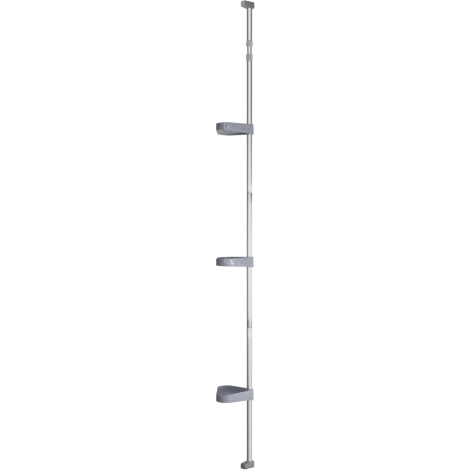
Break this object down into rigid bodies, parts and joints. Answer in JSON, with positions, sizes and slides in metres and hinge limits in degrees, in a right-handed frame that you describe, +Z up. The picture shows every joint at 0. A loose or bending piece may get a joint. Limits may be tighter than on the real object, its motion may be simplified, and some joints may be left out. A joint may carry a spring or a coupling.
{
  "type": "shower caddy",
  "caption": "Floor-to-ceiling tension pole in jointed steel tubes, with a sprung telescoping top, padded ends and corner baskets that slide and swivel on split wedges.",
  "frame": {"origin": "on the pole's axis, at the underside of the foot's rubber pad", "axes": "+Z up the pole; the baskets fill the quarter between -X and -Y, so the room's corner is at +X, +Y"},
  "size_m": [0.191, 0.192, 2.09],
  "materials": {
    "basket_plastic": "glossy moulded blue-grey plastic",
    "end_plastic": "satin mid-grey moulded plastic",
    "pole_steel": "polished plated steel tube",
    "inner_steel": "polished plated steel tube",
    "collar": "satin silver-grey moulded plastic",
    "nylon": "natural nylon, moulded",
    "rubber": "matt black rubber",
    "spring_steel": "bare spring wire"
  },
  "bodies": {
    "pole": {"foot_pad": "rubber", "foot_shell": "end_plastic", "lower_tube": "pole_steel", "lower_coupler": "nylon", "middle_tube": "pole_steel", "upper_coupler": "nylon", "upper_tube": "pole_steel"},
    "lock": {"lock_collar": "collar"},
    "collet": {"lock_collet": "nylon"},
    "extension": {"inner_tube": "inner_steel", "guide_plug": "nylon", "spring_seat": "nylon", "spring": "spring_steel"},
    "top": {"sleeve_tube": "pole_steel", "sleeve_bush": "nylon", "sleeve_collar": "collar", "spring_cap": "nylon", "cap_shell": "end_plastic", "ceiling_pad": "rubber"},
    "grip_1": {"wedge_front_1": "nylon", "wedge_back_1": "nylon"},
    "shelf_1": {"basket_1": "basket_plastic"},
    "grip_2": {"wedge_front_2": "nylon", "wedge_back_2": "nylon"},
    "shelf_2": {"basket_2": "basket_plastic"},
    "grip_3": {"wedge_front_3": "nylon", "wedge_back_3": "nylon"},
    "shelf_3": {"basket_3": "basket_plastic"}
  },
  "joints": [
    {"name": "lock_twist", "type": "hinge", "parent": "pole", "child": "lock", "pos_m": [0, 0, 1.8415], "axis": [0, 0, 1], "range_deg": [0, 90]},
    {"name": "top_turn", "type": "hinge", "parent": "pole", "child": "collet", "pos_m": [0, 0, 1.847], "axis": [0, 0, 1], "continuous": true},
    {"name": "telescope", "type": "slide", "parent": "collet", "child": "extension", "axis": [0, 0, 1], "range_m": [-0.01, 0.4]},
    {"name": "spring_plunge", "type": "slide", "parent": "extension", "child": "top", "axis": [0, 0, 1], "range_m": [-0.02, 0], "stiffness_N_per_m": 1500, "springref_m": 0.02, "deforming": ["spring"]},
    {"name": "shelf_1_height", "type": "slide", "parent": "pole", "child": "grip_1", "axis": [0, 0, 1], "range_m": [-0.27, 0.27]},
    {"name": "shelf_1_swivel", "type": "hinge", "parent": "grip_1", "child": "shelf_1", "pos_m": [0, 0, 0.327], "axis": [0, 0, 1], "continuous": true},
    {"name": "shelf_2_height", "type": "slide", "parent": "pole", "child": "grip_2", "axis": [0, 0, 1], "range_m": [-0.27, 0.27]},
    {"name": "shelf_2_swivel", "type": "hinge", "parent": "grip_2", "child": "shelf_2", "pos_m": [0, 0, 0.923], "axis": [0, 0, 1], "continuous": true},
    {"name": "shelf_3_height", "type": "slide", "parent": "pole", "child": "grip_3", "axis": [0, 0, 1], "range_m": [-0.27, 0.27]},
    {"name": "shelf_3_swivel", "type": "hinge", "parent": "grip_3", "child": "shelf_3", "pos_m": [0, 0, 1.519], "axis": [0, 0, 1], "continuous": true}
  ]
}
